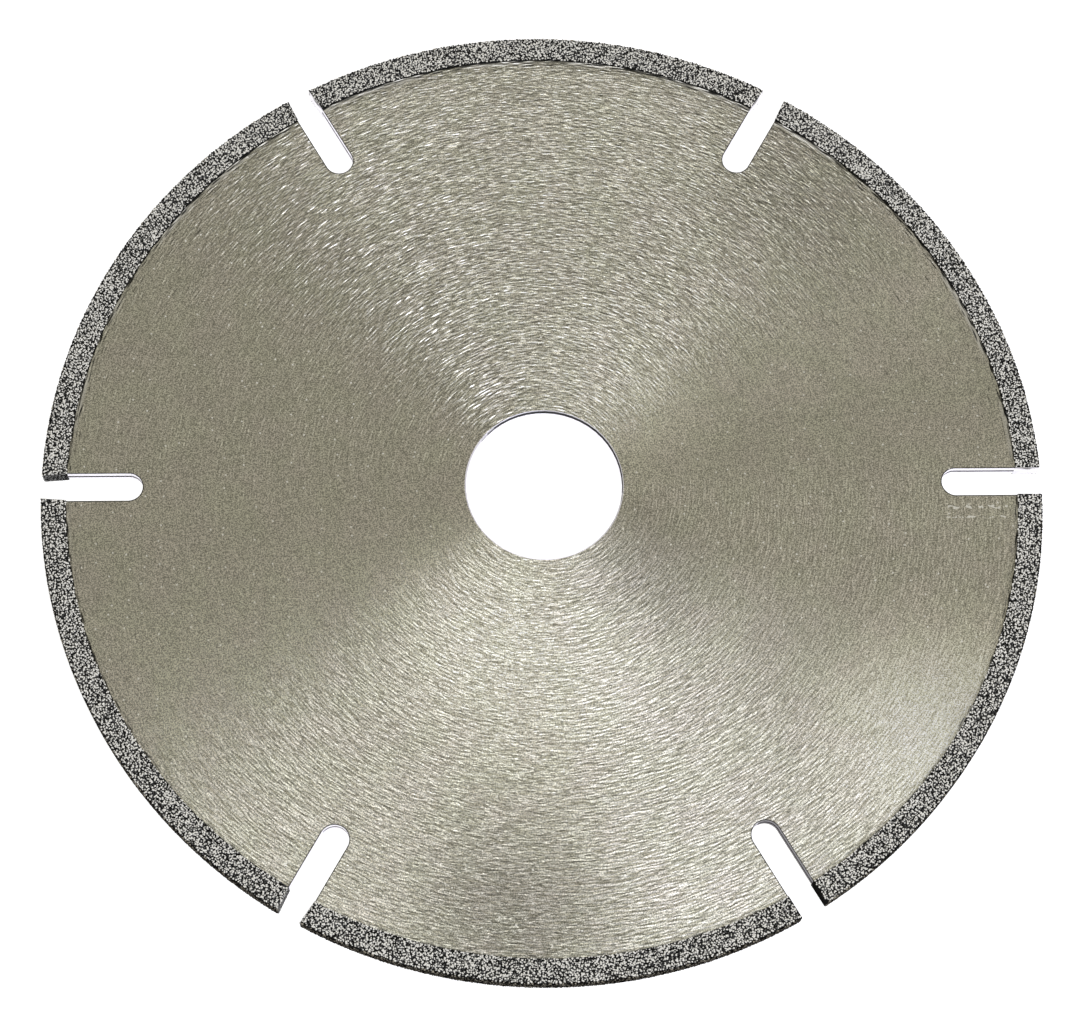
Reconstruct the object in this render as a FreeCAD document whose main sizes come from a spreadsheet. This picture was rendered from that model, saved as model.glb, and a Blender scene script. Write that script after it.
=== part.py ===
"""Diamond cut-off wheel: a slotted steel disc with a plated diamond coat on each stretch of its rim.

The origin is the centre of the bore, halfway through the thickness. +Z runs along the bore and up,
and +X along the middle of the first slot. The wheel lies flat, on the lower faces of its coats.
"""
import FreeCAD, Part
import math
import os
import Sketcher

# Driving dimensions: millimetres, apart from the number of slots
DIMENSIONS = {
    "wheel_diameter": 101.6,
    "bore_diameter": 15.875,
    "bore_bevel": 0.15,
    "core_thickness": 1.5,
    "slot_count": 6,
    "slot_width": 2.9,
    "slot_depth": 10.2,
    "coat_band": 2.6,
    "coat_on_faces": 0.35,
    "coat_on_rim": 0.35,
    "coat_in_slots": 0.25,
    "coat_bevel": 0.25,
}

# A sketch's own origin and axes, and the named points of its lines and arcs
SKETCH_ORIGIN = -1
SKETCH_X_AXIS = -1
START = 1
END = 2
CENTRE = 3


def add_sheet(doc):
    """The spreadsheet that every size is bound to."""
    sheet = doc.addObject("Spreadsheet::Sheet", "Dimensions")
    for row, (alias, value) in enumerate(DIMENSIONS.items(), start=1):
        sheet.set(f"A{row}", alias)
        sheet.set(f"B{row}", str(value))
        sheet.setAlias(f"B{row}", alias)
    doc.recompute()
    return sheet


def add_body(doc, name):
    body = doc.addObject("PartDesign::Body", name)
    body.Label = name
    return body


def own_datum(body, role):
    """One of the body's own origin planes or axes."""
    return next(datum for datum in body.Origin.OriginFeatures if datum.Role == role)


def add_sketch(body, name, plane):
    sketch = body.newObject("Sketcher::SketchObject", name)
    sketch.AttachmentSupport = [(own_datum(body, plane), "")]
    sketch.MapMode = "FlatFace"
    return sketch


def constrain(sketch, *constraint):
    sketch.addConstraint(Sketcher.Constraint(*constraint))


def set_size(sketch, formula, *constraint):
    """Adds a constraint whose value is a formula of the sheet's sizes."""
    index = sketch.addConstraint(Sketcher.Constraint(*constraint))
    sketch.setExpression(f"Constraints[{index}]", formula)


def draw_core_section(sketch, sheet):
    """Half section of the disc: flat faces, a straight rim and a bore with both edges bevelled.

    Each face is drawn as two lines that meet where the coat begins, so that the bare face, which the
    flanges clamp, and the margin under the coat are faces of their own.
    """
    bore = sheet.bore_diameter / 2
    rim = sheet.wheel_diameter / 2 - sheet.coat_on_rim
    coat_edge = sheet.wheel_diameter / 2 - sheet.coat_band
    face = sheet.core_thickness / 2
    bevel = sheet.bore_bevel
    corners = [
        (bore, face - bevel),
        (bore + bevel, face),
        (coat_edge, face),
        (rim, face),
        (rim, -face),
        (coat_edge, -face),
        (bore + bevel, -face),
        (bore, bevel - face),
    ]
    points = [FreeCAD.Vector(x, y, 0) for x, y in corners]
    lines = [
        sketch.addGeometry(Part.LineSegment(start, end), False)
        for start, end in zip(points, points[1:] + points[:1])
    ]
    upper_bevel, upper_face, upper_margin, rim_wall, *lower_lines = lines
    lower_margin, lower_face, lower_bevel, bore_wall = lower_lines
    for line, following in zip(lines, lines[1:] + lines[:1]):
        constrain(sketch, "Coincident", line, END, following, START)
    for line in (upper_face, upper_margin, lower_margin, lower_face):
        constrain(sketch, "Horizontal", line)
    constrain(sketch, "Vertical", rim_wall)
    constrain(sketch, "Vertical", bore_wall)

    half_thickness = "Dimensions.core_thickness / 2"
    coat_edge_formula = "Dimensions.wheel_diameter / 2 - Dimensions.coat_band"
    bevel_formula = "Dimensions.bore_bevel"
    set_size(sketch, "Dimensions.bore_diameter / 2",
             "DistanceX", SKETCH_ORIGIN, START, upper_bevel, START, bore)
    set_size(sketch, "Dimensions.wheel_diameter / 2 - Dimensions.coat_on_rim",
             "DistanceX", SKETCH_ORIGIN, START, rim_wall, START, rim)
    set_size(sketch, coat_edge_formula,
             "DistanceX", SKETCH_ORIGIN, START, upper_face, END, coat_edge)
    set_size(sketch, coat_edge_formula,
             "DistanceX", SKETCH_ORIGIN, START, lower_face, START, coat_edge)
    set_size(sketch, half_thickness, "DistanceY", SKETCH_ORIGIN, START, rim_wall, START, face)
    set_size(sketch, half_thickness, "DistanceY", rim_wall, END, SKETCH_ORIGIN, START, face)
    set_size(sketch, bevel_formula, "DistanceX", upper_bevel, START, upper_bevel, END, bevel)
    set_size(sketch, bevel_formula, "DistanceY", upper_bevel, START, upper_bevel, END, bevel)
    set_size(sketch, bevel_formula, "DistanceX", lower_bevel, END, lower_bevel, START, bevel)
    set_size(sketch, bevel_formula, "DistanceY", lower_bevel, START, lower_bevel, END, bevel)


def draw_slot(sketch, sheet):
    """Outline of the slot along +X: round at its inner end, and out past the core's rim."""
    mouth = sheet.wheel_diameter / 2
    half_width = sheet.slot_width / 2
    end_centre = mouth - sheet.slot_depth + half_width
    circle = Part.Circle(FreeCAD.Vector(end_centre, 0, 0), FreeCAD.Vector(0, 0, 1), half_width)
    round_end = sketch.addGeometry(Part.ArcOfCircle(circle, math.pi / 2, 3 * math.pi / 2), False)
    points = [
        FreeCAD.Vector(end_centre, -half_width, 0),
        FreeCAD.Vector(mouth, -half_width, 0),
        FreeCAD.Vector(mouth, half_width, 0),
        FreeCAD.Vector(end_centre, half_width, 0),
    ]
    lower_side, closing_line, upper_side = [
        sketch.addGeometry(Part.LineSegment(start, end), False)
        for start, end in zip(points, points[1:])
    ]
    constrain(sketch, "Tangent", round_end, END, lower_side, START)
    constrain(sketch, "Coincident", lower_side, END, closing_line, START)
    constrain(sketch, "Coincident", closing_line, END, upper_side, START)
    constrain(sketch, "Tangent", upper_side, END, round_end, START)
    constrain(sketch, "Horizontal", lower_side)
    constrain(sketch, "Horizontal", upper_side)
    constrain(sketch, "Vertical", closing_line)
    constrain(sketch, "PointOnObject", round_end, CENTRE, SKETCH_X_AXIS)

    set_size(sketch, "Dimensions.slot_width / 2", "Radius", round_end, half_width)
    set_size(sketch,
             "Dimensions.wheel_diameter / 2 - Dimensions.slot_depth + Dimensions.slot_width / 2",
             "DistanceX", SKETCH_ORIGIN, START, round_end, CENTRE, end_centre)
    set_size(sketch, "Dimensions.wheel_diameter / 2",
             "DistanceX", SKETCH_ORIGIN, START, closing_line, START, mouth)


def draw_rim_stretch(sketch, sheet, inner, outer, inset):
    """Outline of one stretch of rim between two slots, with +X through its middle.

    inner, outer and inset are pairs of a size and its formula: the two radii, and how far each end
    stays from the middle line of the slot beside it.
    """
    inner_radius, inner_formula = inner
    outer_radius, outer_formula = outer
    inset_size, inset_formula = inset
    slot_angle = math.pi / sheet.slot_count
    inner_end = slot_angle - math.asin(inset_size / inner_radius)
    outer_end = slot_angle - math.asin(inset_size / outer_radius)

    def at(radius, angle):
        return FreeCAD.Vector(radius * math.cos(angle), radius * math.sin(angle), 0)

    def add_arc(radius, half_angle):
        circle = Part.Circle(FreeCAD.Vector(0, 0, 0), FreeCAD.Vector(0, 0, 1), radius)
        return sketch.addGeometry(Part.ArcOfCircle(circle, -half_angle, half_angle), False)

    def add_end(side):
        line = Part.LineSegment(at(inner_radius, side * inner_end), at(outer_radius, side * outer_end))
        return sketch.addGeometry(line, False)

    inner_arc = add_arc(inner_radius, inner_end)
    outer_arc = add_arc(outer_radius, outer_end)
    upper_end = add_end(1)
    lower_end = add_end(-1)
    for arc, end_of_line in ((inner_arc, START), (outer_arc, END)):
        constrain(sketch, "Coincident", arc, CENTRE, SKETCH_ORIGIN, START)
        constrain(sketch, "Coincident", arc, END, upper_end, end_of_line)
        constrain(sketch, "Coincident", arc, START, lower_end, end_of_line)

    half_pitch = "180 deg / Dimensions.slot_count"
    set_size(sketch, inner_formula, "Radius", inner_arc, inner_radius)
    set_size(sketch, outer_formula, "Radius", outer_arc, outer_radius)
    set_size(sketch, half_pitch,
             "Angle", SKETCH_X_AXIS, START, upper_end, START, slot_angle)
    set_size(sketch, half_pitch,
             "Angle", lower_end, START, SKETCH_X_AXIS, START, slot_angle)
    for line in (upper_end, lower_end):
        set_size(sketch, inset_formula, "Distance", SKETCH_ORIGIN, START, line, inset_size)


def add_symmetric(body, kind, name, sketch, formula):
    """A pad or a pocket of the sketch, half of its length on each side of the wheel's middle plane."""
    feature = body.newObject(kind, name)
    feature.Profile = sketch
    feature.SideType = "Symmetric"
    feature.Type = "Length"
    feature.setExpression("Length", formula)
    return feature


def add_steel_core(doc, sheet):
    """The ground disc: a turned blank with its slots cut through it.

    Its features aren't refined, because that would merge the bare faces with their margins again.
    """
    body = add_body(doc, "steel_core")
    section = add_sketch(body, "core_section", "XZ_Plane")
    draw_core_section(section, sheet)
    blank = body.newObject("PartDesign::Revolution", "core_blank")
    blank.Profile = section
    blank.ReferenceAxis = (section, ["V_Axis"])
    blank.Angle = 360
    blank.Refine = False

    outline = add_sketch(body, "slot_outline", "XY_Plane")
    draw_slot(outline, sheet)
    slot = add_symmetric(body, "PartDesign::Pocket", "slot", outline, "Dimensions.core_thickness")
    slot.Refine = False

    slots = body.newObject("PartDesign::PolarPattern", "slots")
    slots.Originals = [slot]
    slots.Axis = (own_datum(body, "Z_Axis"), [""])
    slots.Angle = 360
    slots.setExpression("Occurrences", "Dimensions.slot_count")
    slots.Refine = False
    body.Tip = slots
    return body


def rim_arcs(shape, rim_radius):
    """Names of the arcs that run round the rim, along its upper and its lower edge."""
    return [
        f"Edge{number}"
        for number, edge in enumerate(shape.Edges, start=1)
        if isinstance(edge.Curve, Part.Circle) and math.isclose(edge.Curve.Radius, rim_radius)
    ]


def add_diamond_coat(doc, sheet, number):
    """The coat on the stretch of rim that follows the numbered slot.

    It lies over both faces, the rim and the slots' walls, and the core fills the space inside it.
    """
    body = add_body(doc, f"diamond_coat_{number}")
    rim_radius = sheet.wheel_diameter / 2
    outer_size = (rim_radius, "Dimensions.wheel_diameter / 2")
    band_size = (
        rim_radius - sheet.coat_band,
        "Dimensions.wheel_diameter / 2 - Dimensions.coat_band",
    )
    mouth_size = (
        sheet.slot_width / 2 - sheet.coat_in_slots,
        "Dimensions.slot_width / 2 - Dimensions.coat_in_slots",
    )
    core_rim_size = (
        rim_radius - sheet.coat_on_rim,
        "Dimensions.wheel_diameter / 2 - Dimensions.coat_on_rim",
    )
    # The space for the core runs a band's width further in than the coat, so that it opens inwards
    core_inner_size = (
        rim_radius - 2 * sheet.coat_band,
        "Dimensions.wheel_diameter / 2 - 2 * Dimensions.coat_band",
    )
    slot_wall_size = (sheet.slot_width / 2, "Dimensions.slot_width / 2")

    coat_outline = add_sketch(body, f"coat_outline_{number}", "XY_Plane")
    draw_rim_stretch(coat_outline, sheet, band_size, outer_size, mouth_size)
    coat = add_symmetric(body, "PartDesign::Pad", f"coat_{number}", coat_outline,
                         "Dimensions.core_thickness + 2 * Dimensions.coat_on_faces")
    doc.recompute()

    bevel = body.newObject("PartDesign::Chamfer", f"coat_bevel_{number}")
    bevel.Base = (coat, rim_arcs(coat.Shape, rim_radius))
    bevel.setExpression("Size", "Dimensions.coat_bevel")

    core_outline = add_sketch(body, f"core_outline_{number}", "XY_Plane")
    draw_rim_stretch(core_outline, sheet, core_inner_size, core_rim_size, slot_wall_size)
    space = add_symmetric(body, "PartDesign::Pocket", f"space_for_core_{number}", core_outline,
                          "Dimensions.core_thickness")
    body.Tip = space
    body.Placement.Rotation.Axis = FreeCAD.Vector(0, 0, 1)
    body.setExpression("Placement.Rotation.Angle",
                       f"({number} - 0.5) * 360 deg / Dimensions.slot_count")
    return body


def check(doc, bodies):
    """Stops where a feature has failed, or where a sub-part isn't one valid solid."""
    for item in doc.Objects:
        if {"Invalid", "Error"} & set(item.State):
            raise RuntimeError(f"{item.Name} failed: {item.State}")
    for body in bodies:
        shape = body.Shape
        if shape.isNull() or not shape.isValid() or len(shape.Solids) != 1:
            raise RuntimeError(f"{body.Label} isn't one valid solid")


def main():
    doc = FreeCAD.newDocument("cut_off_wheel")
    sheet = add_sheet(doc)
    bodies = [add_steel_core(doc, sheet)]
    for number in range(1, int(sheet.slot_count) + 1):
        bodies.append(add_diamond_coat(doc, sheet, number))
    doc.recompute()
    check(doc, bodies)

    os.makedirs("parts", exist_ok=True)
    for body in bodies:
        body.Shape.exportStep(f"parts/{body.Label}.step")
        print(f"{body.Label}: {body.Shape.Volume:.2f} mm3")


main()
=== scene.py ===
"""Looks of the diamond cut-off wheel: circular ground steel, and coats of single diamonds in plated metal.

Lengths are metres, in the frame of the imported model: the origin is the centre of the bore, +Z runs up
along it, and +X along the middle of the first slot.
"""
import math

import bpy
import numpy as np
from mathutils import Matrix, Vector


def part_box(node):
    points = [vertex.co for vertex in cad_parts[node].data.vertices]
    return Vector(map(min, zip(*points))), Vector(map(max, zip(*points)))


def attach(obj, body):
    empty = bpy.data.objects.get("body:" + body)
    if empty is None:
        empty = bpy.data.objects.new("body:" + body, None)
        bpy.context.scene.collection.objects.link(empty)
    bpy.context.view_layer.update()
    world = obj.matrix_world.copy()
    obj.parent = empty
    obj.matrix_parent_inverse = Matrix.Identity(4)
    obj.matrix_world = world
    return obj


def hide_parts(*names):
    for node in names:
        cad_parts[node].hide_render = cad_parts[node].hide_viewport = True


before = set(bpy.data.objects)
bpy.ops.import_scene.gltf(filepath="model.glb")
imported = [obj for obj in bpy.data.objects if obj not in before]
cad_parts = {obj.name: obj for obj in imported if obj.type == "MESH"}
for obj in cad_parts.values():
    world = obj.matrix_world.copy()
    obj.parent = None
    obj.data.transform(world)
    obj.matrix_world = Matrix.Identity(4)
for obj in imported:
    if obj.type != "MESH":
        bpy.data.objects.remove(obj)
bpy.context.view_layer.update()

MM = 0.001

# The wheel's sizes, from the frame where it has them
SLOT_COUNT = 6
SLOT_PITCH = 2 * math.pi / SLOT_COUNT
WHEEL_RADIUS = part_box("diamond_coat_2")[1].y
HALF_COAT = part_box("diamond_coat_2")[1].z
CORE_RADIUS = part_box("steel_core")[1].y
HALF_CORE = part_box("steel_core")[1].z
COAT_INNER_RADIUS = WHEEL_RADIUS - 2.6 * MM
SLOT_HALF_WIDTH = 1.45 * MM
SLOT_END_RADIUS = 42.05 * MM

# Half the width between the coats at the rim, from the first slot on: two of the slots don't narrow
OPEN_MOUTH = SLOT_HALF_WIDTH - 0.03 * MM
NARROW_MOUTH = 1.2 * MM
MOUTHS = [OPEN_MOUTH, NARROW_MOUTH, NARROW_MOUTH, NARROW_MOUTH, NARROW_MOUTH, OPEN_MOUTH]

# Ends of coats that are bare bright plate, as coat and side: 0 is where it starts, 1 where it ends
BRIGHT_ENDS = [(1, 0), (2, 0), (2, 1)]

# The plated metal between the diamonds: its depth below the tips of the grit, and its other sizes
PLATE_BELOW_TIPS = 0.1 * MM
PLATE_INSIDE_RIM = 0.05 * MM
PLATE_PAST_CORE = 0.02 * MM
PLATE_BEVEL = 0.1 * MM
PLATE_SETBACK = 0.08 * MM
PLATE_SEGMENTS = 60
PLATE_END_QUADS = 4

# The diamonds
GRAIN_PITCH = 0.21 * MM
GRAIN_JITTER = 0.45
GRAIN_RADIUS_LOW = 0.08 * MM
GRAIN_RADIUS_HIGH = 0.16 * MM
GRAIN_SINK = 0.07 * MM
GRAIN_CORNERS = 7
GRAIN_SHORTEST_CORNER = 0.82
GRAIN_SHAPES = 24

# The coats' materials, in their order on the mesh
PLATED_METAL, ON_SIDES, ON_RIM, BRIGHT_PLATE = range(4)

# The core's colours and roughness
STEEL_TONES = (0.86, 0.835, 0.68, 1), (0.885, 0.825, 0.71, 1)
STEEL_SHADE = (0.62, 0.6, 0.5, 1)
STEEL_GRAIN = (0.22, 0.215, 0.175, 1)
# Painted shade along the slots' edges
PAINTED_EDGE_SHADE = (0.03, 0.03, 0.03, 1)
MARK = (0.95, 0.93, 0.85, 1)
# Painted light beside the coats
PAINTED_FRINGE = (0.9, 0.88, 0.82, 1)
WALL = (0.90, 0.88, 0.93, 1)
# A darker tone for one wall of the last slot
DARK_SLOT_WALL = (0.17, 0.16, 0.17, 1)
# Painted shade: the dark line on the walls
PAINTED_WALL_SHADE = (0.02, 0.02, 0.02, 1)
STEEL_ROUGHNESS = 0.28
MARK_ROUGHNESS = 0.6
WALL_ROUGHNESS = 0.55

# Painted light and shade: soft large patches that make the face brighter where its sheen is strongest, and darker
# in other places. Place and size in mm, and the factor at their middle
PAINTED_LIGHT_PATCHES = (
    (-2.4, -16.8, 18, 1.42),
    (-3.9, -44.8, 16, 0.68),
    (39.8, -26.8, 18, 1.7),
    (27.6, 32.9, 16, 0.72),
    (8.5, 9.7, 14, 1.25),
    (8.0, -10.2, 12, 0.78),
)

# Two rows of small marks beside the first slot
MARK_ROWS = (-2.95 * MM, -4.05 * MM)
MARK_ROW_START = 40.9 * MM
MARK_ROW_END = 47.2 * MM

# Walls nearer the axis than this are the bore's, and those beyond it the slots'
BORE_ZONE = 9 * MM

# Directions over the face: towards the camera, and where the steel is rougher
TOWARDS_FRONT = (-0.47, -0.88, 0)
TOWARDS_ROUGHER = (0.64, -0.77, 0)

# The camera
TARGET = Vector((-0.456, -2.916, 0)) * MM
AZIMUTH = math.radians(-5.988)
ELEVATION = math.radians(70.896)
ROLL = math.radians(5.274)
DISTANCE = 278.02 * MM
LENS = 91.32
SENSOR = 36

# The lamps: where each stands, half its width and height as seen from the wheel (degrees), radiance, colour
NEUTRAL = (1, 1, 1)
COOL = (0.97, 1, 1.1)
LAMPS = {
    "back": (85, 15, 28, 5, 2.5, NEUTRAL),
    "back_high": (75, 45, 28, 5, 0.5, NEUTRAL),
    "front_left": (230, 35, 16, 5, 2.2, COOL),
    "front_right": (310, 46, 16, 14, 3.1, (0.96, 1, 1.2)),
    "front_top": (270, 80, 32, 5, 1.65, COOL),
    "front_left_top": (230, 80, 16, 5, 1.35, COOL),
    "right": (0, 35, 22, 22, 0.25, NEUTRAL),
}
LAMP_DISTANCE = 0.5
WORLD_COLOUR = (1.03, 1, 0.89, 1)
WORLD_STRENGTH = 0.38
FLOOR_HALF_WIDTH = 3.0


def add_camera():
    """The photograph's view: from the front and far above, turned a little about its own axis."""
    back = Vector((
        math.sin(AZIMUTH) * math.cos(ELEVATION),
        -math.cos(AZIMUTH) * math.cos(ELEVATION),
        math.sin(ELEVATION),
    ))
    level_right = Vector((math.cos(AZIMUTH), math.sin(AZIMUTH), 0))
    level_up = back.cross(level_right)
    right = level_right * math.cos(ROLL) + level_up * math.sin(ROLL)
    up = level_up * math.cos(ROLL) - level_right * math.sin(ROLL)
    data = bpy.data.cameras.new("camera")
    data.lens = LENS
    data.sensor_width = SENSOR
    data.clip_start = 0.01
    data.clip_end = 20
    camera = bpy.data.objects.new("camera", data)
    bpy.context.scene.collection.objects.link(camera)
    turn = Matrix((right, up, back)).transposed().to_4x4()
    camera.matrix_world = Matrix.Translation(TARGET + back * DISTANCE) @ turn
    bpy.context.scene.camera = camera


def add_lamp(name, azimuth, elevation, half_width, half_height, radiance, colour):
    """A soft box, given by where it stands and how wide, high and bright it looks from the wheel (degrees)."""
    azimuth = math.radians(azimuth)
    elevation = math.radians(elevation)
    data = bpy.data.lights.new(name, "AREA")
    data.shape = "RECTANGLE"
    data.size = 2 * LAMP_DISTANCE * math.tan(math.radians(half_width))
    data.size_y = 2 * LAMP_DISTANCE * math.tan(math.radians(half_height))
    data.energy = radiance * math.pi * data.size * data.size_y
    data.color = colour
    lamp = bpy.data.objects.new(name, data)
    bpy.context.scene.collection.objects.link(lamp)
    towards = Vector((
        math.cos(elevation) * math.cos(azimuth),
        math.cos(elevation) * math.sin(azimuth),
        math.sin(elevation),
    ))
    lamp.location = towards * LAMP_DISTANCE
    lamp.rotation_mode = "QUATERNION"
    lamp.rotation_quaternion = towards.to_track_quat("Z", "Y")


def add_lights():
    for name, settings in LAMPS.items():
        add_lamp(name, *settings)
    world = bpy.data.worlds.new("studio")
    world.use_nodes = True
    background = world.node_tree.nodes["Background"]
    background.inputs["Color"].default_value = WORLD_COLOUR
    background.inputs["Strength"].default_value = WORLD_STRENGTH
    bpy.context.scene.world = world


class Nodes:
    """A material's node tree, with short ways to add nodes and link them."""

    def __init__(self, name):
        self.material = bpy.data.materials.new(name)
        self.material.use_nodes = True
        self.tree = self.material.node_tree
        self.tree.nodes.clear()

    def add(self, kind, inputs=None, **settings):
        node = self.tree.nodes.new(kind)
        for key, value in settings.items():
            setattr(node, key, value)
        for key, value in (inputs or {}).items():
            self.put(node.inputs[key], value)
        return node

    def put(self, socket, value):
        if isinstance(value, bpy.types.NodeSocket):
            self.tree.links.new(value, socket)
        else:
            socket.default_value = value

    def math(self, operation, *values):
        node = self.add("ShaderNodeMath", operation=operation)
        for socket, value in zip(node.inputs, values):
            self.put(socket, value)
        return node.outputs[0]

    def product(self, first, *others):
        for other in others:
            first = self.math("MULTIPLY", first, other)
        return first

    def vector(self, operation, *values):
        node = self.add("ShaderNodeVectorMath", operation=operation)
        for socket, value in zip(node.inputs, values):
            self.put(socket, value)
        return node.outputs["Value" if operation in ("LENGTH", "DOT_PRODUCT") else "Vector"]

    def scaled(self, vector, factor):
        return self.add("ShaderNodeVectorMath", {0: vector, "Scale": factor}, operation="SCALE").outputs["Vector"]

    def split(self, vector):
        return self.add("ShaderNodeSeparateXYZ", {"Vector": vector}).outputs

    def along_z(self, length):
        return self.add("ShaderNodeCombineXYZ", {"Z": length}).outputs[0]

    def noise(self, vector, scale=1.0, detail=0.0):
        inputs = {"Vector": vector, "Scale": scale, "Detail": detail, "Roughness": 0.5}
        return self.add("ShaderNodeTexNoise", inputs).outputs["Fac"]

    def remap(self, value, low, high, to_low, to_high, smooth=False):
        inputs = {"Value": value, "From Min": low, "From Max": high, "To Min": to_low, "To Max": to_high}
        kind = "SMOOTHSTEP" if smooth else "LINEAR"
        return self.add("ShaderNodeMapRange", inputs, interpolation_type=kind).outputs["Result"]

    def band(self, value, low, high, soft):
        """1 between two limits and 0 outside them."""
        above = self.remap(value, low - soft, low + soft, 0, 1)
        below = self.remap(value, high - soft, high + soft, 1, 0)
        return self.product(above, below)

    def mix(self, factor, first, second):
        node = self.add("ShaderNodeMix", data_type="RGBA")
        self.put(node.inputs[0], factor)
        self.put(node.inputs[6], first)
        self.put(node.inputs[7], second)
        return node.outputs[2]

    def finish(self, shader):
        self.add("ShaderNodeOutputMaterial", {"Surface": shader})
        return self.material


class Steel(Nodes):
    """The core's steel, ground in circles. Its parts share the place on the wheel."""

    def __init__(self):
        super().__init__("ground_steel")
        self.place = self.add("ShaderNodeTexCoord").outputs["Object"]
        self.x, self.y, self.height = self.split(self.place)
        self.flat = self.vector("MULTIPLY", self.place, (1, 1, 0))
        self.radius = self.vector("LENGTH", self.flat)
        self.outward = self.vector("NORMALIZE", self.flat)
        self.upward = self.split(self.outward)["Y"]
        self.true_normal = self.add("ShaderNodeNewGeometry").outputs["True Normal"]
        # 1 on the two faces and 0 on the walls
        self.face = self.remap(self.math("ABSOLUTE", self.split(self.true_normal)["Z"]), 0.8, 0.95, 0, 1)
        # Each slot is folded onto the first: u runs along its middle line and v away from it
        angle = self.math("ARCTAN2", self.y, self.x)
        self.slot_angle = self.product(self.math("ROUND", self.math("DIVIDE", angle, SLOT_PITCH)), SLOT_PITCH)
        folded = self.math("SUBTRACT", angle, self.slot_angle)
        self.u = self.product(self.radius, self.math("COSINE", folded))
        self.v = self.product(self.radius, self.math("SINE", folded))

    def arcs(self, length, width, inward=0.0):
        """Noise that is long along the circles and narrow across them."""
        along = self.scaled(self.flat, 1 / length)
        across = self.math("DIVIDE", self.math("ADD", self.radius, inward), width)
        return self.noise(self.vector("ADD", along, self.along_z(across)))

    def pairs(self, length, width, apart):
        """Strokes in pairs: above 0, and below it beside that."""
        return self.math("SUBTRACT", self.arcs(length, width), self.arcs(length, width, apart))

    def tilt(self):
        """The strokes of the grinding tilt the face outwards and inwards."""
        long = self.product(self.pairs(1.3 * MM, 0.1 * MM, 0.18 * MM), 1.3)
        strokes = self.product(self.remap(self.arcs(1.4 * MM, 0.12 * MM), 0.56, 0.7, 0, 1, smooth=True), 0.25)
        return self.scaled(self.outward, self.product(self.math("ADD", long, strokes), self.face))

    def bare_tone(self):
        """Faint patches of colour, and a fine grain."""
        warm = self.noise(self.place, scale=1 / (4 * MM), detail=3.0)
        elsewhere = self.vector("ADD", self.place, (0.3, 0, 0))
        shade = self.noise(elsewhere, scale=1 / (7 * MM), detail=3.0)
        grain = self.noise(self.place, scale=1 / (0.12 * MM))
        tone = self.mix(self.remap(warm, 0.35, 0.65, 0, 1), *STEEL_TONES)
        tone = self.mix(self.remap(shade, 0.35, 0.65, 0, 0.12), tone, STEEL_SHADE)
        return self.mix(self.remap(grain, 0.3, 0.7, 0, 0.85), tone, STEEL_GRAIN)

    def painted_stroke_light(self):
        """Painted light: how much the strokes change the tone, shown only at the front and back of the face where
        the sheen fans out, with extra bright lines on the far half.
        """
        fine = self.pairs(0.8 * MM, 0.09 * MM, 0.17 * MM)
        lines = self.remap(fine, 0, 0.4, -0.2, 0.9, smooth=True)
        lines = self.product(lines, self.remap(self.upward, -0.4, 0.6, 0, 1, smooth=True))
        drawn = self.product(self.math("ADD", self.product(fine, 1.1), lines), self.face)
        across = self.remap(self.math("ABSOLUTE", self.upward), 0.4, 0.9, 0, 1, smooth=True)
        return self.product(drawn, across)

    def with_painted_light_patches(self, tone):
        # Painted light and shade: each patch scales the tone, most at its middle
        for x, y, size, factor in PAINTED_LIGHT_PATCHES:
            away = self.vector("LENGTH", self.vector("SUBTRACT", self.flat, (x * MM, y * MM, 0)))
            tone = self.scaled(tone, self.remap(away, 0, size * MM, factor, 1, smooth=True))
        return tone

    def painted_slot_edge_shade(self):
        """Painted shade: a dark line along the slots' edges on the face."""
        short = self.math("MAXIMUM", self.math("SUBTRACT", SLOT_END_RADIUS, self.u), 0.0)
        squares = self.math("ADD", self.product(short, short), self.product(self.v, self.v))
        near = self.math("LESS_THAN", self.math("SQRT", squares), SLOT_HALF_WIDTH + 0.1 * MM)
        return self.product(near, 0.9)

    def marks(self):
        """Bright specks, and the rows of small marks beside the first slot."""
        dots = self.add("ShaderNodeTexVoronoi", {"Vector": self.place, "Scale": 1 / (1.6 * MM)},
                        voronoi_dimensions="2D").outputs
        lot = self.add("ShaderNodeSeparateColor", {"Color": dots["Color"]}).outputs[0]
        near = self.math("LESS_THAN", dots["Distance"], 0.06)
        specks = self.product(near, self.math("GREATER_THAN", lot, 0.7))
        wobble = self.product(self.noise(self.place, scale=1 / (0.9 * MM), detail=1.0), 0.5 * MM)
        rows = 0.0
        for offset in MARK_ROWS:
            away = self.math("ABSOLUTE", self.math("SUBTRACT", self.y, self.math("ADD", wobble, offset)))
            rows = self.math("MAXIMUM", rows, self.math("LESS_THAN", away, 0.12 * MM))
        broken = self.math("GREATER_THAN", self.noise(self.place, scale=1 / (0.28 * MM)), 0.54)
        stretch = self.band(self.x, MARK_ROW_START, MARK_ROW_END, 0.05 * MM)
        return self.math("MAXIMUM", specks, self.product(rows, broken, stretch))

    def painted_fringe_light(self):
        """Painted light: the face is made brighter beside the coats, in places, mostly on the far half, as a
        bright fringe that also lifts the shadow the coats cast there.
        """
        ring = self.band(self.radius, COAT_INNER_RADIUS - 0.35 * MM, COAT_INNER_RADIUS + 1 * MM, 0.12 * MM)
        places = self.remap(self.noise(self.place, scale=1 / (7 * MM)), 0.45, 0.55, 0.1, 0.9)
        return self.product(ring, places, self.remap(self.upward, -0.2, 0.4, 0, 1))

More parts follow.
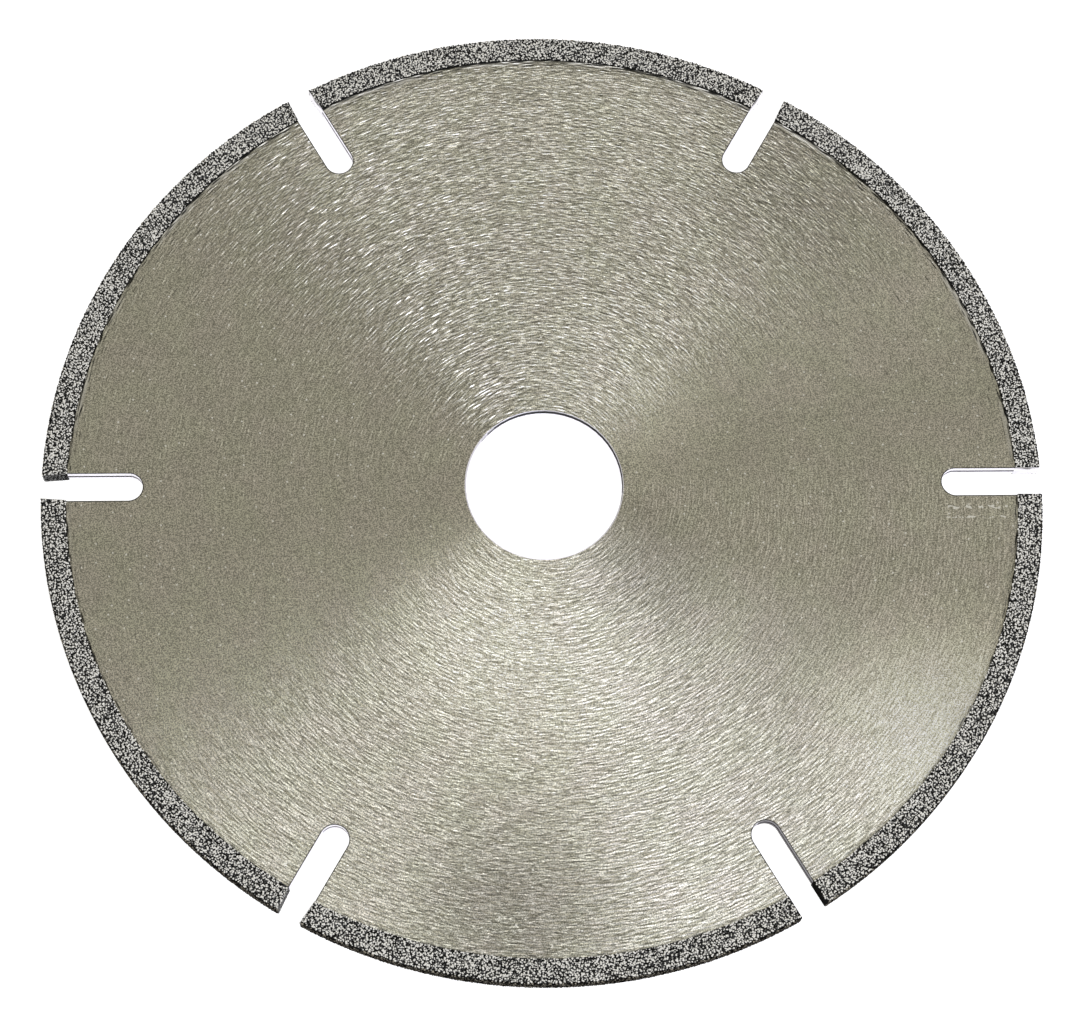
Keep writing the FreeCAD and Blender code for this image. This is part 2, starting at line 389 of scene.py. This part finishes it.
    def painted_wall_shade_line(self):
        """Painted shade: a dark line along the walls that face the camera, high up in the bore, and lower in the
        slots.
        """
        front = self.vector("DOT_PRODUCT", self.true_normal, TOWARDS_FRONT)
        in_bore = self.math("LESS_THAN", self.radius, BORE_ZONE)
        in_slots = self.math("SUBTRACT", 1.0, in_bore)
        upper = self.product(self.band(self.height, 0.25 * MM, 0.68 * MM, 0.02 * MM), in_bore)
        lower = self.product(self.band(self.height, -0.25 * MM, 0.1 * MM, 0.03 * MM), in_slots)
        return self.product(self.math("MAXIMUM", upper, lower), self.remap(front, 0.15, 0.3, 0, 0.95))

    def wall_tone(self, line):
        """The walls are bright, but one wall of the last slot is dark, and the dark line of painted shade lies
        over them.
        """
        one_side = self.math("GREATER_THAN", self.v, 0.0)
        from_last = self.math("ABSOLUTE", self.math("ADD", self.slot_angle, SLOT_PITCH))
        in_last = self.math("LESS_THAN", from_last, 0.1)
        beyond_bore = self.math("GREATER_THAN", self.radius, BORE_ZONE)
        wall = self.mix(self.product(one_side, in_last, beyond_bore), WALL, DARK_SLOT_WALL)
        return self.mix(line, wall, PAINTED_WALL_SHADE)

    def roughness(self, marks):
        towards = self.vector("DOT_PRODUCT", self.outward, TOWARDS_ROUGHER)
        rougher = self.remap(towards, 0.8, 1, 1, 1.6, smooth=True)
        on_face = self.product(self.remap(marks, 0.0, 1.0, STEEL_ROUGHNESS, MARK_ROUGHNESS), rougher)
        return self.remap(self.face, 0.0, 1.0, WALL_ROUGHNESS, on_face)

    def normal(self, line):
        """The strokes tilt the normal, and the dark lines turn it up, away from the white floor."""
        smooth = self.add("ShaderNodeNewGeometry").outputs["Normal"]
        up = self.along_z(self.product(line, 2.0))
        return self.vector("NORMALIZE", self.vector("ADD", smooth, self.vector("ADD", self.tilt(), up)))


def ground_steel():
    """Short fine strokes along the circles, and a sheen that fans out from the bore."""
    steel = Steel()
    marks = steel.marks()
    # Painted shade: a dark line on the walls that face the camera
    line = steel.painted_wall_shade_line()
    # Painted light: the strokes' tone, only where the sheen shows them
    tone = steel.scaled(steel.bare_tone(), steel.math("ADD", steel.painted_stroke_light(), 1.0))
    # Painted light and shade in soft patches
    tone = steel.with_painted_light_patches(tone)
    # Painted shade along the slots' edges
    tone = steel.mix(steel.painted_slot_edge_shade(), tone, PAINTED_EDGE_SHADE)
    tone = steel.mix(marks, tone, MARK)
    # Painted light beside the coats
    tone = steel.mix(steel.painted_fringe_light(), tone, PAINTED_FRINGE)
    tone = steel.mix(steel.face, steel.wall_tone(line), tone)
    shader = steel.add("ShaderNodeBsdfPrincipled", {
        "Base Color": tone,
        "Metallic": 1.0,
        "Roughness": steel.roughness(marks),
        "Anisotropic": 0.6,
        "Tangent": steel.outward,
        "Normal": steel.normal(line),
    })
    return steel.finish(shader.outputs[0])


def diamond(name, dark, bright, low, high, shade_below_tips, specular):
    """Single grains: each has a tone of its own, and painted shade makes them darker, by a given factor, below
    the faces' tips, in the gaps between grains and down the walls.
    """
    n = Nodes(name)
    own = n.add("ShaderNodeNewGeometry").outputs["Random Per Island"]
    tone = n.mix(n.remap(own, low, high, 0, 1, smooth=True), dark, bright)
    place = n.add("ShaderNodeTexCoord").outputs["Object"]
    height = n.math("ABSOLUTE", n.split(place)["Z"])
    # Painted shade: darker below the tips of the faces' grains
    tone = n.scaled(tone, n.remap(height, HALF_COAT - 0.3 * MM, HALF_COAT - 0.14 * MM, shade_below_tips, 1))
    shader = n.add("ShaderNodeBsdfPrincipled", {
        "Base Color": tone,
        "Roughness": 0.3,
        "Specular IOR Level": specular,
    })
    return n.finish(shader.outputs[0])


def diamond_on_sides():
    return diamond("diamond_on_sides", (0.015, 0.015, 0.014, 1), (1.0, 0.98, 0.91, 1),
                   low=0.12, high=0.36, shade_below_tips=0.2, specular=1.0)


# The rim's grains are much darker than those on the faces: painted shade on the rim
def diamond_on_rim():
    return diamond("diamond_on_rim", (0.008, 0.007, 0.006, 1), (0.45, 0.41, 0.33, 1),
                   low=0.4, high=1.0, shade_below_tips=0.6, specular=0.0)


def bright_plate():
    """The bare plated metal on some of the coats' ends."""
    n = Nodes("bright_plate")
    shader = n.add("ShaderNodeBsdfPrincipled", {
        "Base Color": (0.9, 0.88, 0.92, 1),
        "Metallic": 1.0,
        "Roughness": 0.4,
    })
    return n.finish(shader.outputs[0])


def plated_metal():
    """The nickel that holds the diamonds, dull and dark between them."""
    n = Nodes("plated_metal")
    place = n.add("ShaderNodeTexCoord").outputs["Object"]
    lumps = n.noise(place, scale=1 / (0.12 * MM), detail=2.0)
    bump = n.add("ShaderNodeBump", {"Height": lumps, "Strength": 1.0, "Distance": 0.03 * MM})
    shader = n.add("ShaderNodeBsdfPrincipled", {
        "Base Color": (0.015, 0.015, 0.014, 1),
        "Roughness": 0.6,
        "Specular IOR Level": 0.0,
        "Normal": bump.outputs["Normal"],
    })
    return n.finish(shader.outputs[0])


def white_floor():
    """White to the camera and in reflections, with the wheel's soft shadow kept."""
    n = Nodes("white_floor")
    path = n.add("ShaderNodeLightPath")
    seen = n.math("MAXIMUM", path.outputs["Is Camera Ray"], path.outputs["Is Glossy Ray"])
    seen = n.math("MAXIMUM", seen, path.outputs["Is Transmission Ray"])
    lit = n.add("ShaderNodeBsdfDiffuse", {"Color": (0.8, 0.8, 0.8, 1)})
    glow = n.add("ShaderNodeEmission", {"Color": (1, 1, 1, 1), "Strength": n.product(seen, 0.75)})
    both = n.add("ShaderNodeAddShader")
    n.put(both.inputs[0], lit.outputs[0])
    n.put(both.inputs[1], glow.outputs[0])
    return n.finish(both.outputs[0])


def add_floor():
    half = FLOOR_HALF_WIDTH
    corners = [(-half, -half), (half, -half), (half, half), (-half, half)]
    mesh = bpy.data.meshes.new("floor")
    mesh.from_pydata([(x, y, -HALF_COAT) for x, y in corners], [], [(0, 1, 2, 3)])
    mesh.materials.append(white_floor())
    floor = bpy.data.objects.new("floor", mesh)
    bpy.context.scene.collection.objects.link(floor)


def add_mesh(name, corners, faces, materials, material_index):
    """An object from arrays of corners and of triangles or quads, which are rows of corner numbers."""
    mesh = bpy.data.meshes.new(name)
    counts = np.concatenate([np.full(len(group), group.shape[1]) for group in faces])
    starts = np.concatenate([[0], np.cumsum(counts)[:-1]])
    loops = np.concatenate([group.ravel() for group in faces])
    mesh.vertices.add(len(corners))
    mesh.loops.add(len(loops))
    mesh.polygons.add(len(counts))
    mesh.vertices.foreach_set("co", corners.astype(np.float32).ravel())
    mesh.loops.foreach_set("vertex_index", loops.astype(np.int32))
    mesh.polygons.foreach_set("loop_start", starts.astype(np.int32))
    mesh.polygons.foreach_set("material_index", material_index.astype(np.int32))
    for material in materials:
        mesh.materials.append(material)
    mesh.update(calc_edges=True)
    mesh.validate()
    piece = bpy.data.objects.new(name, mesh)
    bpy.context.scene.collection.objects.link(piece)
    return piece


def half_stretch(radius, inset):
    """Half the angle of a coat at a radius, where its ends stay at a distance from the slots' middle lines."""
    return SLOT_PITCH / 2 - np.arcsin(inset / radius)


def mouth(radius, at_rim):
    """Half the width of a slot between the coats: as wide as in the core at first, and narrower at the rim."""
    share = (radius - COAT_INNER_RADIUS) / (WHEEL_RADIUS - COAT_INNER_RADIUS)
    return at_rim + (OPEN_MOUTH - at_rim) * (1 - share)


def ends(radius, mouths, inset=0.0):
    """The angles at which a coat starts and ends at a radius, about +X."""
    start, end = (half_stretch(radius, mouth(radius, at_rim) + inset) for at_rim in mouths)
    return -start, end


def at(radius, angle, height):
    """Points from cylindrical coordinates."""
    return np.stack(np.broadcast_arrays(radius * np.cos(angle), radius * np.sin(angle), height), -1)


def plate_half_width(radius, at_rim):
    """Half the width of a slot between the plated metal, which never ends behind the core's own wall."""
    return min(mouth(radius, at_rim) + PLATE_INSIDE_RIM, SLOT_HALF_WIDTH - PLATE_PAST_CORE)


def plate(mouths):
    """The plated metal of one stretch, about +X: corners and quads of a closed U round the core's rim."""
    inner = COAT_INNER_RADIUS + PLATE_SETBACK
    rim = WHEEL_RADIUS - PLATE_INSIDE_RIM
    face = HALF_COAT - PLATE_BELOW_TIPS
    outside = [
        (inner, face),
        (rim - PLATE_BEVEL, face),
        (rim, face - PLATE_BEVEL),
        (rim, PLATE_BEVEL - face),
        (rim - PLATE_BEVEL, -face),
        (inner, -face),
    ]
    inside = [
        (inner, -HALF_CORE),
        (CORE_RADIUS, -HALF_CORE),
        (CORE_RADIUS, HALF_CORE),
        (inner, HALF_CORE),
    ]
    across = PLATE_SEGMENTS + 1
    rows = []
    for r, z in outside:
        start, end = (half_stretch(r, plate_half_width(r, at_rim)) for at_rim in mouths)
        rows.append(at(r, np.linspace(-start, end, across), z))
    for r, z in inside:
        end = half_stretch(r, SLOT_HALF_WIDTH)
        rows.append(at(r, np.linspace(-end, end, across), z))
    number = np.arange(len(rows) * across).reshape(len(rows), across)
    following = np.roll(number, -1, axis=0)
    skin = np.stack([number[:, :-1], following[:, :-1], following[:, 1:], number[:, 1:]], -1).reshape(-1, 4)
    # Each end closes the outside with two quads, the inside with one, and what is left between them with one
    closing = []
    for column, order in ((0, 1), (-1, -1)):
        a, b, c, d, e, f, g, h, i, j = number[:, column]
        quads = [(a, f, e, b), (b, e, d, c), (j, i, h, g), (a, j, g, f)]
        closing += [quad[::order] for quad in quads]
    return np.concatenate(rows), np.concatenate([skin, np.array(closing)])


def grain_shapes(rng):
    """Small irregular convex stones about the origin, of unit radius: corners and triangles of each."""
    shapes = []
    for _ in range(GRAIN_SHAPES):
        directions = rng.normal(size=(GRAIN_CORNERS, 3))
        directions /= np.linalg.norm(directions, axis=1)[:, None]
        # Corners that lie too close together are pushed apart, so that the stone is full on all sides
        for _ in range(30):
            gap = directions[:, None] - directions[None]
            distance = np.linalg.norm(gap, axis=2) + np.eye(GRAIN_CORNERS)
            directions += 0.05 * (gap / distance[..., None] ** 3).sum(1)
            directions /= np.linalg.norm(directions, axis=1)[:, None]
        corners = directions * rng.uniform(GRAIN_SHORTEST_CORNER, 1.0, (GRAIN_CORNERS, 1))
        shapes.append((corners, hull_triangles(corners)))
    return shapes


def hull_triangles(corners):
    """Triangles of the convex hull, facing outwards: those that have every corner on one side."""
    triangles = []
    count = len(corners)
    for a in range(count):
        for b in range(a + 1, count):
            for c in range(b + 1, count):
                normal = np.cross(corners[b] - corners[a], corners[c] - corners[a])
                side = (corners - corners[a]) @ normal
                if (side < 1e-9).all():
                    triangles.append((a, b, c))
                elif (side > -1e-9).all():
                    triangles.append((a, c, b))
    return np.array(triangles)


def jittered(rng, columns, rows):
    """A shaken grid of points over a rectangle, as two arrays of shares from 0 to 1."""
    u, v = np.meshgrid((np.arange(columns) + 0.5), (np.arange(rows) + 0.5), indexing="ij")
    u = u + rng.uniform(-GRAIN_JITTER, GRAIN_JITTER, u.shape) + np.where(np.arange(rows) % 2, 0.25, -0.25)
    v = v + rng.uniform(-GRAIN_JITTER, GRAIN_JITTER, v.shape)
    return np.clip(u / columns, 0, 1).ravel(), np.clip(v / rows, 0, 1).ravel()


def cells(length):
    return max(1, round(length / GRAIN_PITCH))


def grain_seats(rng, mouths, bare):
    """Where the grains of one stretch sit, about +X: points on both faces and slot walls, and on the rim."""
    margin = GRAIN_RADIUS_LOW
    inner = COAT_INNER_RADIUS + margin
    rim = WHEEL_RADIUS - GRAIN_SINK
    face = HALF_COAT - GRAIN_SINK
    along = cells(SLOT_PITCH * WHEEL_RADIUS)
    seats = []
    for side in (1, -1):
        u, v = jittered(rng, along, cells(rim - inner))
        radius = inner + (rim - margin - inner) * v
        start, end = ends(radius, mouths, GRAIN_SINK)
        seats.append(at(radius, start + (end - start) * u, side * face))
    for side in (0, 1):
        if not bare[side]:
            u, v = jittered(rng, cells(rim - inner), cells(2 * face))
            radius = inner + (rim - inner) * u
            seats.append(at(radius, ends(radius, mouths, GRAIN_SINK)[side], (2 * v - 1) * face))
    u, v = jittered(rng, along, cells(2 * face))
    start, end = ends(rim, mouths, GRAIN_SINK)
    return np.concatenate(seats), at(rim, start + (end - start) * u, (2 * v - 1) * face)


def turns(rng, count):
    """Random turns, as rotation matrices made from unit quaternions."""
    quaternions = rng.normal(size=(4, count))
    w, x, y, z = quaternions / np.linalg.norm(quaternions, axis=0)
    return np.stack([
        1 - 2 * (y * y + z * z), 2 * (x * y - w * z), 2 * (x * z + w * y),
        2 * (x * y + w * z), 1 - 2 * (x * x + z * z), 2 * (y * z - w * x),
        2 * (x * z - w * y), 2 * (y * z + w * x), 1 - 2 * (x * x + y * y),
    ], -1).reshape(count, 3, 3)


def inside_coat(corners, mouths):
    """Corners brought within the coat's outline about +X, as grains whose tips wear to one level."""
    radius = np.hypot(corners[:, 0], corners[:, 1])
    angle = np.arctan2(corners[:, 1], corners[:, 0])
    radius = np.clip(radius, COAT_INNER_RADIUS, WHEEL_RADIUS)
    return at(radius, np.clip(angle, *ends(radius, mouths)), np.clip(corners[:, 2], -HALF_COAT, HALF_COAT))


def add_coat(number, shapes, materials):
    """One stretch of coat, which takes the place of the CAD's smooth one."""
    rng = np.random.default_rng(number)
    mouths = MOUTHS[number - 1], MOUTHS[number % SLOT_COUNT]
    bright = [(number, side) in BRIGHT_ENDS for side in (0, 1)]
    bare = [bright[side] or mouths[side] == OPEN_MOUTH for side in (0, 1)]
    plate_corners, plate_quads = plate(mouths)
    on_sides, on_rim = grain_seats(rng, mouths, bare)
    seats = np.concatenate([on_sides, on_rim])
    size = rng.uniform(GRAIN_RADIUS_LOW, GRAIN_RADIUS_HIGH, len(seats))
    turn = turns(rng, len(seats))
    kind = rng.integers(len(shapes), size=len(seats))
    # The plate's last quads are its two ends
    skin = np.full(len(plate_quads) - 2 * PLATE_END_QUADS, PLATED_METAL)
    closing = np.repeat(np.where(bright, BRIGHT_PLATE, PLATED_METAL), PLATE_END_QUADS)
    corners, triangles, material_index = [plate_corners], [], [skin, closing]
    start = len(plate_corners)
    for index, (shape_corners, shape_triangles) in enumerate(shapes):
        chosen = np.flatnonzero(kind == index)
        stones = np.einsum("gij,cj->gci", turn[chosen], shape_corners)
        stones = stones * size[chosen, None, None] + seats[chosen, None]
        corners.append(inside_coat(stones.reshape(-1, 3), mouths))
        offsets = start + np.arange(len(chosen)) * len(shape_corners)
        triangles.append((offsets[:, None, None] + shape_triangles).reshape(-1, 3))
        material_index.append(np.repeat(np.where(chosen < len(on_sides), ON_SIDES, ON_RIM), len(shape_triangles)))
        start += stones.shape[0] * stones.shape[1]
    faces = [plate_quads, np.concatenate(triangles)]
    coat = add_mesh(f"grit_{number}", np.concatenate(corners), faces, materials, np.concatenate(material_index))
    coat.data.transform(Matrix.Rotation((number - 0.5) * SLOT_PITCH, 4, "Z"))
    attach(coat, "root")
    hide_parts(f"diamond_coat_{number}")


def dress_core():
    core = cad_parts["steel_core"]
    core.data.materials.clear()
    core.data.materials.append(ground_steel())


bpy.context.scene.view_settings.view_transform = "Standard"
add_camera()
add_lights()
add_floor()
dress_core()
stone_shapes = grain_shapes(np.random.default_rng(0))
coat_materials = [plated_metal(), diamond_on_sides(), diamond_on_rim(), bright_plate()]
for coat_number in range(1, SLOT_COUNT + 1):
    add_coat(coat_number, stone_shapes, coat_materials)
